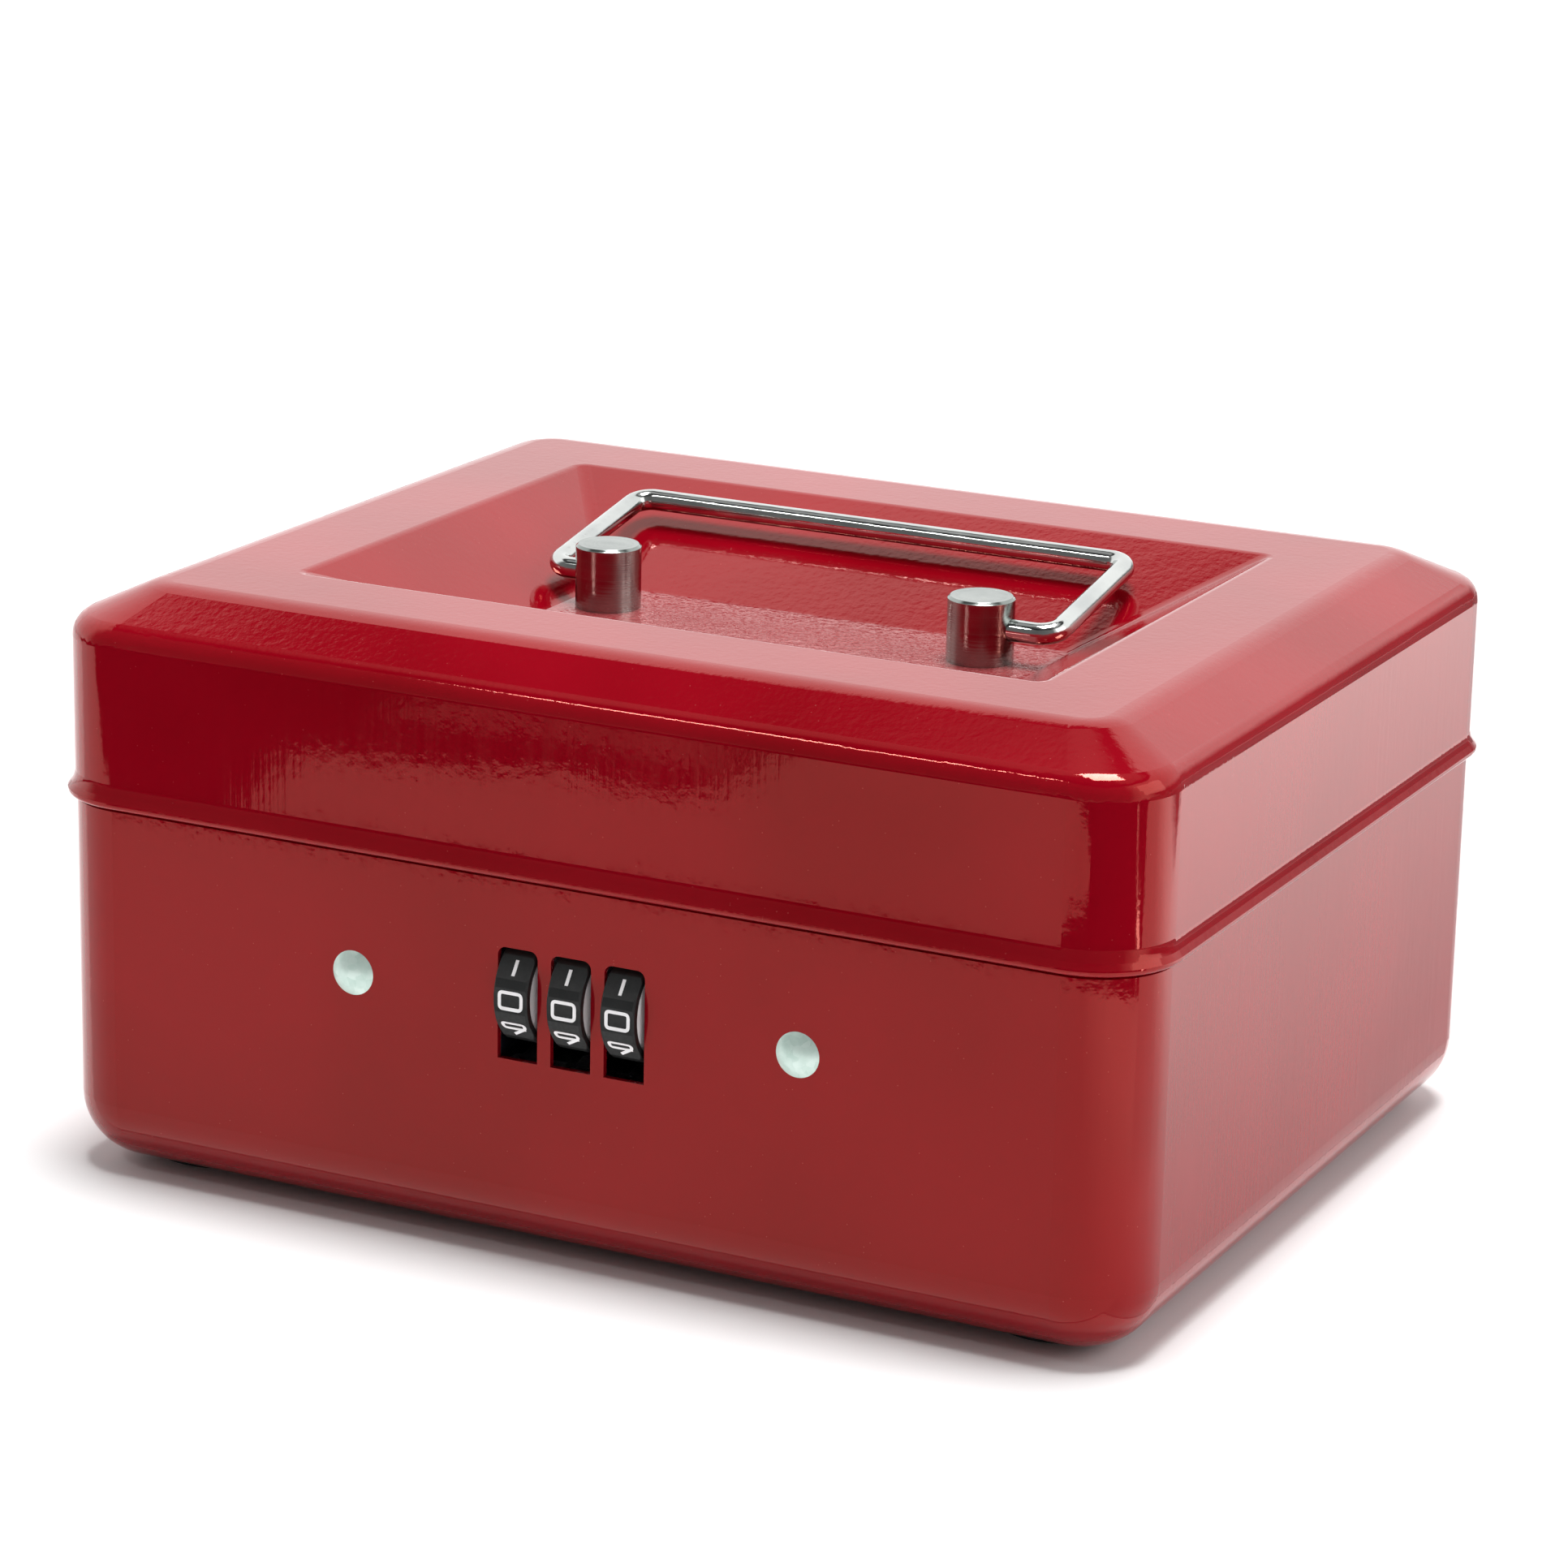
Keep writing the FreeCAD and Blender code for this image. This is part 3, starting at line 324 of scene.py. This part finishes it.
def stroke_outline(path, closed):
    """Left and right edges of a stroke of constant width."""
    left, right = [], []
    count = len(path)
    for index, point in enumerate(path):
        before = path[index - 1] if closed or index else point
        after = path[(index + 1) % count] if closed or index < count - 1 else point
        run = (after - before).normalized()
        across = Vector((-run.y, run.x)) * (STROKE / 2)
        left.append(point + across)
        right.append(point - across)
    return left, right


DIGITS = {
    0: [([(-1, -1), (1, -1), (1, 1), (-1, 1)], True)],
    1: [([(0, -1), (0, 1)], False)],
    2: [([(-1, 1), (1, 1), (1, 0), (-1, 0), (-1, -1), (1, -1)], False)],
    3: [([(-1, 1), (1, 1), (1, -1), (-1, -1)], False), ([(-0.4, 0), (1, 0)], False)],
    4: [([(-1, 1), (-1, -0.2), (1, -0.2)], False), ([(0.5, 1), (0.5, -1)], False)],
    5: [([(1, 1), (-1, 1), (-1, 0), (1, 0), (1, -1), (-1, -1)], False)],
    6: [([(1, 1), (-1, 1), (-1, -1), (1, -1), (1, 0), (-1, 0)], False)],
    7: [([(-1, 1), (1, 1), (-0.1, -1)], False)],
    8: [([(-1, -1), (1, -1), (1, 1), (-1, 1)], True), ([(-1, 0), (1, 0)], False)],
    9: [([(-0.2, -1), (1, 0.2), (1, 1), (-1, 1), (-1, 0), (1, 0)], False)],
}


def make_digits(number):
    """The ten raised numbers of one dial, as one mesh."""
    centre = box_middle(f"dial_hub_{number}")
    ring_middle = box_middle(f"dial_ring_{number}")
    centre.x = ring_middle.x
    shape = bmesh.new()

    def on_facet(point, angle, lift):
        out = Vector((0, -math.cos(angle), math.sin(angle)))
        up = Vector((0, math.sin(angle), math.cos(angle)))
        radius = FACET_R + point.y ** 2 / (2 * SCOOP_R) + lift
        return centre + out * radius + up * point.y + Vector((point.x, 0, 0))

    for digit, strokes in DIGITS.items():
        angle = digit * 2 * math.pi / FACETS
        for raw, closed in strokes:
            points = [Vector((x * DIGIT_W / 2, y * DIGIT_H / 2)) for x, y in raw]
            path = rounded_path(points, closed)
            left, right = stroke_outline(path, closed)
            rows = []
            for a, b in zip(left, right):
                section = ((a, -DIGIT_LIFT), (a, DIGIT_LIFT), (b, DIGIT_LIFT), (b, -DIGIT_LIFT))
                rows.append([shape.verts.new(on_facet(point, angle, lift)) for point, lift in section])
            last = len(rows) if closed else len(rows) - 1
            for index in range(last):
                one, two = rows[index], rows[(index + 1) % len(rows)]
                for k in range(4):
                    shape.faces.new((one[k], one[(k + 1) % 4], two[(k + 1) % 4], two[k]))
            if not closed:
                shape.faces.new(rows[0])
                shape.faces.new(reversed(rows[-1]))
    bmesh.ops.recalc_face_normals(shape, faces=shape.faces)
    mesh = bpy.data.meshes.new(f"dial_digits_{number}")
    shape.to_mesh(mesh)
    shape.free()
    digits = bpy.data.objects.new(mesh.name, mesh)
    bpy.context.scene.collection.objects.link(digits)
    dress(digits, WHITE)
    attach(digits, f"dial_{number}")


for number in (1, 2, 3):
    make_digits(number)


# ------------------------------------------------------------------ bolt spring
SPRING_WIRE_R = 0.16 * MM
SPRING_TURNS = 7.0
STEPS_PER_TURN = 24
WIRE_SIDES = 8


def make_bolt_spring():
    """The small coil spring, as one fixed mesh; the real spring shortens as the bolt slides right."""
    low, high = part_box("bolt_spring")
    centre = (low + high) / 2
    coil_r = (high.z - low.z) / 2 - SPRING_WIRE_R
    length = high.x - low.x
    run = length - 2 * SPRING_WIRE_R
    steps = int(SPRING_TURNS * STEPS_PER_TURN)
    shape = bmesh.new()
    rings = []
    for step in range(steps + 1):
        turn = 2 * math.pi * step / STEPS_PER_TURN
        outward = Vector((0, math.cos(turn), math.sin(turn)))
        along = Vector((run / (SPRING_TURNS * 2 * math.pi), -coil_r * math.sin(turn),
                        coil_r * math.cos(turn))).normalized()
        across = along.cross(outward)
        on_axis = Vector((low.x + SPRING_WIRE_R + run * step / steps, centre.y, centre.z))
        middle = on_axis + outward * coil_r
        ring = []
        for side in range(WIRE_SIDES):
            angle = 2 * math.pi * side / WIRE_SIDES
            offset = outward * math.cos(angle) + across * math.sin(angle)
            ring.append(shape.verts.new(middle + offset * SPRING_WIRE_R))
        rings.append(ring)
    for one, two in zip(rings, rings[1:]):
        for k in range(WIRE_SIDES):
            after = (k + 1) % WIRE_SIDES
            face = shape.faces.new((one[k], one[after], two[after], two[k]))
            face.smooth = True
    shape.faces.new(rings[0])
    shape.faces.new(reversed(rings[-1]))
    bmesh.ops.recalc_face_normals(shape, faces=shape.faces)
    mesh = bpy.data.meshes.new("bolt_spring_coil")
    shape.to_mesh(mesh)
    shape.free()
    coil = bpy.data.objects.new(mesh.name, mesh)
    bpy.context.scene.collection.objects.link(coil)
    dress(coil, SPRING)
    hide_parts("bolt_spring")
    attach(coil, "base")
    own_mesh(coil)


make_bolt_spring()

# ------------------------------------------------------------------ camera
CAMERA_OFFSET = Vector((0.2844, -0.5749, 0.2343))
CAMERA_YAW = math.radians(26.372)
CAMERA_PITCH = math.radians(16.221)
CAMERA_ROLL = math.radians(1.193)
forward = Vector((-math.sin(CAMERA_YAW) * math.cos(CAMERA_PITCH),
                  math.cos(CAMERA_YAW) * math.cos(CAMERA_PITCH), -math.sin(CAMERA_PITCH)))
level = Vector((math.cos(CAMERA_YAW), math.sin(CAMERA_YAW), 0))
upright = level.cross(forward)
right = level * math.cos(CAMERA_ROLL) + upright * math.sin(CAMERA_ROLL)
top = upright * math.cos(CAMERA_ROLL) - level * math.sin(CAMERA_ROLL)
lens = bpy.data.cameras.new("camera")
lens.lens = 116.2
lens.sensor_width = 36.0
lens.clip_end = 20.0
camera = bpy.data.objects.new("camera", lens)
camera.matrix_world = Matrix((right, top, -forward)).transposed().to_4x4()
camera.matrix_world.translation = CAMERA_OFFSET + Vector((0, box_middle("lid_shell").y, 0))
bpy.context.scene.collection.objects.link(camera)
bpy.context.scene.camera = camera


# ------------------------------------------------------------------ floor and light
def sheet_mesh(name, corners, material):
    mesh = bpy.data.meshes.new(name)
    mesh.from_pydata(corners, [], [tuple(range(len(corners)))])
    obj = bpy.data.objects.new(name, mesh)
    bpy.context.scene.collection.objects.link(obj)
    dress(obj, material)
    return obj


FLOOR_R = 3.0
FLOOR_SIDES = 64
floor_angles = [i * 2 * math.pi / FLOOR_SIDES for i in range(FLOOR_SIDES)]
floor_rim = [(FLOOR_R * math.cos(angle), FLOOR_R * math.sin(angle), 0.0) for angle in floor_angles]
sheet_mesh("floor", floor_rim, paper_floor())


def glow_card(name, corners, radiance):
    """A card over the floor that only glossy surfaces see."""
    shine = Shader(name, Roughness=1.0, Specular_IOR_Level=0.0)
    shine.shader.inputs["Base Color"].default_value = rgb(0.0, 0.0, 0.0)
    shine.shader.inputs["Emission Color"].default_value = rgb(1.0, 1.0, 1.0)
    shine.feed(Emission_Strength=radiance(shine))
    card = sheet_mesh(name, corners, shine.material)
    card.visible_camera = False
    card.visible_diffuse = False
    card.visible_shadow = False
    card.visible_transmission = False


def even(level):
    return lambda s: s.span(s.noise(12.0, 1.0), 0.3, 0.7, level * 0.94, level * 1.06)


def side_glow(s):
    """Brighter away from the box, less so by its front corner, dimmer far behind it."""
    place = s.node("SeparateXYZ", {"Vector": s.place})
    away = s.span(place.outputs["X"], 0.09, 0.19, 0.98, 2.30)
    by_corner = s.span(place.outputs["X"], 0.085, 0.125, 0.85, 1.35)
    past_corner = s.span(place.outputs["Y"], -0.01, 0.055, 0.0, 1.0)
    change = s.math("MULTIPLY", past_corner, s.math("SUBTRACT", away, by_corner))
    level = s.math("ADD", by_corner, change)
    behind = s.math("MULTIPLY", s.span(place.outputs["X"], 0.185, 0.200, 0.0, 0.9),
                    s.span(place.outputs["Y"], 0.09, 0.13, 0.0, 1.0))
    lit = s.math("SUBTRACT", 1.0, behind)
    return s.math("MULTIPLY", level, lit)


def corner_glow(s):
    """Even in front of the box, a little brighter past its corner."""
    x = s.node("SeparateXYZ", {"Vector": s.place}).outputs["X"]
    return s.span(x, 0.09, 0.16, 1.0, 1.6)


def card(name, outline, z, radiance):
    glow_card(name, [(x, y, z) for x, y in outline], radiance)


def oblong(x0, x1, y0, y1):
    return [(x0, y0), (x1, y0), (x1, y1), (x0, y1)]


# The pale and dark sheets of the studio floor, in metres, as the gloss of the box shows them.
LOW_Z = 0.0010
HIGH_Z = 0.0015
FRONT_Y = -0.064
SIDE_X = 0.078
NEAR_SHEET = [(-0.7, FRONT_Y), (-0.7, -0.195), (0.0, -0.198), (0.06, -0.207), (0.115, -0.198),
              (0.16, -0.172), (0.19, -0.135), (0.205, -0.100), (0.21, FRONT_Y)]
FRONT_PATCH = [(-0.138, -0.206), (-0.150, -0.240), (-0.112, -0.250), (-0.106, -0.258),
               (-0.098, -0.250), (-0.078, -0.252), (-0.082, -0.320), (-0.040, -0.320),
               (0.060, -0.298), (0.098, -0.288), (0.112, -0.262), (0.108, -0.242),
               (0.035, -0.238), (0.004, -0.206)]
FAINT_PATCH = [(-0.085, -0.268), (-0.120, -0.272), (-0.150, -0.268), (-0.150, -0.281),
               (-0.085, -0.284)]
GLINT = [(0.2192, -0.0791), (0.2432, -0.0956), (0.2488, -0.0874), (0.2248, -0.0709)]
GLINT_TAIL = [(0.2440, -0.0944), (0.2980, -0.1329), (0.3020, -0.1271), (0.2480, -0.0886)]
card("card_front_dark", oblong(-1.6, 1.5, -1.6, FRONT_Y), LOW_Z, even(0.006))
card("card_side_dim", oblong(SIDE_X, 1.5, FRONT_Y, 1.5), LOW_Z, even(0.30))
card("card_side", oblong(SIDE_X, 0.5, FRONT_Y, 0.37), HIGH_Z, side_glow)
card("card_near", NEAR_SHEET, HIGH_Z, corner_glow)
card("card_patch", FRONT_PATCH, HIGH_Z, even(0.95))
card("card_faint", FAINT_PATCH, HIGH_Z, even(0.45))
card("card_glint", GLINT, HIGH_Z, even(7.0))
card("card_glint_tail", GLINT_TAIL, HIGH_Z, even(2.4))

# The studio round the box: pale towards the horizon behind it, dark in front and high up.
SKY_STRENGTH = 1.45
BAND_DEPTH = 0.85
SKY_BY_HEIGHT = [(0.0, 1.0), (0.22, 0.88), (0.765, 0.85), (0.80, 0.03), (0.84, 0.03), (0.88, 0.30),
                 (1.0, 0.30)]
SKY_BY_TURN = [(0.0, 0.10), (0.17, 0.15), (0.22, 0.95), (0.5, 1.0), (0.78, 0.95), (0.83, 0.15),
               (1.0, 0.10)]
BAND_BY_HEIGHT = [(0.0, 1.0), (0.16, 1.0), (0.30, 0.0)]
BAND_BY_TURN = [(0.50, 0.0), (0.54, 1.0), (0.72, 1.0), (0.76, 0.0)]
world = bpy.data.worlds.new("studio")
world.use_nodes = True
bpy.context.scene.world = world
sky = world.node_tree
background = sky.nodes["Background"]
direction = sky.nodes.new("ShaderNodeTexCoord")
parts = sky.nodes.new("ShaderNodeSeparateXYZ")
sky.links.new(direction.outputs["Generated"], parts.inputs["Vector"])


def sky_math(operation, a, b):
    made = sky.nodes.new("ShaderNodeMath")
    made.operation = operation
    for socket, value in zip(made.inputs, (a, b)):
        if isinstance(value, bpy.types.NodeSocket):
            sky.links.new(value, socket)
        else:
            socket.default_value = value
    return made.outputs["Value"]


def sky_ramp(value, stops):
    """Brightness by position: stops are (position, grey level)."""
    made = sky.nodes.new("ShaderNodeValToRGB")
    elements = made.color_ramp.elements
    while len(elements) < len(stops):
        elements.new(0.5)
    for element, (position, tone) in zip(elements, stops):
        element.position = position
        element.color = rgb(tone, tone, tone)
    sky.links.new(value, made.inputs["Fac"])
    return made.outputs["Color"]


by_height = sky_ramp(parts.outputs["Z"], SKY_BY_HEIGHT)
turn = sky_math("ARCTAN2", parts.outputs["X"], parts.outputs["Y"])
turn = sky_math("ADD", sky_math("DIVIDE", turn, 2 * math.pi), 0.5)
by_turn = sky_ramp(turn, SKY_BY_TURN)
dark_band = sky_ramp(parts.outputs["Z"], BAND_BY_HEIGHT)
on_right = sky_ramp(turn, BAND_BY_TURN)
band = sky_math("MULTIPLY", dark_band, on_right)
shade = sky_math("SUBTRACT", 1.0, sky_math("MULTIPLY", band, BAND_DEPTH))
bright = sky_math("MULTIPLY", sky_math("MULTIPLY", by_height, by_turn), shade)
sky.links.new(bright, background.inputs["Color"])
background.inputs["Strength"].default_value = SKY_STRENGTH


def area_light(name, place, aim, width, height, power):
    data = bpy.data.lights.new(name, "AREA")
    data.shape = "RECTANGLE"
    data.size = width
    data.size_y = height
    data.energy = power
    light = bpy.data.objects.new(name, data)
    light.location = place
    light.rotation_euler = (Vector(aim) - Vector(place)).to_track_quat("-Z", "Y").to_euler()
    bpy.context.scene.collection.objects.link(light)


area_light("overhead", (0.1, 0.1, 2.0), (0, 0, 0.04), 0.8, 0.8, 51.0)
area_light("side_fill", (0.9, 0.1, 0.5), (0.076, 0, 0.04), 0.6, 0.6, 1.6)
area_light("key", (-0.83, -1.04, 1.6), (0, 0, 0.05), 0.34, 0.06, 2.2)

bpy.context.scene.view_settings.view_transform = "Standard"
